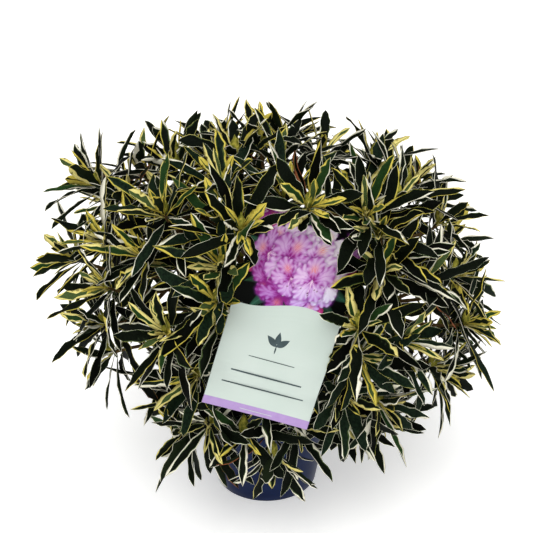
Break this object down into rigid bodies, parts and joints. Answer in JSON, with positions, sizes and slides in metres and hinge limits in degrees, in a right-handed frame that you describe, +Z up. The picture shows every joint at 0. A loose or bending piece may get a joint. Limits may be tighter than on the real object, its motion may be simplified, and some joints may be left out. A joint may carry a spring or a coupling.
{
  "type": "potted variegated rhododendron",
  "caption": "Bushy evergreen shrub with cream-edged leaves in whorls, in a round tapered plastic pot with a stick-in plant label.",
  "frame": {"origin": "centre of the pot's flat underside", "axes": "+Z up, +X to the right of the front, where the crown is widest; the label faces -Y"},
  "size_m": [0.5495, 0.4708, 0.4652],
  "materials": {
    "pot": "semi-matt",
    "soil": "crumbly",
    "label": "printed, satin",
    "bark": "rough bark",
    "foliage": "leathery leaf"
  },
  "bodies": {
    "root": {"bough_shoulder_1": "bark", "bough_shoulder_2": "bark", "bough_shoulder_3": "bark", "bough_shoulder_4": "bark", "bough_shoulder_5": "bark", "bough_skirt_1": "bark", "bough_skirt_2": "bark", "bough_skirt_3": "bark", "bough_skirt_4": "bark", "bough_skirt_5": "bark", "bough_skirt_6": "bark", "bough_top": "bark", "bough_waist_1": "bark", "bough_waist_2": "bark", "bough_waist_3": "bark", "bough_waist_4": "bark", "bough_waist_5": "bark", "bough_waist_6": "bark", "bough_waist_7": "bark", "foliage_shoulder_1": "foliage", "foliage_shoulder_2": "foliage", "foliage_shoulder_3": "foliage", "foliage_shoulder_4": "foliage", "foliage_shoulder_5": "foliage", "foliage_skirt_1": "foliage", "foliage_skirt_2": "foliage", "foliage_skirt_3": "foliage", "foliage_skirt_4": "foliage", "foliage_skirt_5": "foliage", "foliage_skirt_6": "foliage", "foliage_top": "foliage", "foliage_waist_1": "foliage", "foliage_waist_2": "foliage", "foliage_waist_3": "foliage", "foliage_waist_4": "foliage", "foliage_waist_5": "foliage", "foliage_waist_6": "foliage", "foliage_waist_7": "foliage", "label": "label", "pot": "pot", "soil": "soil", "trunk": "bark"}
  },
  "joints": []
}
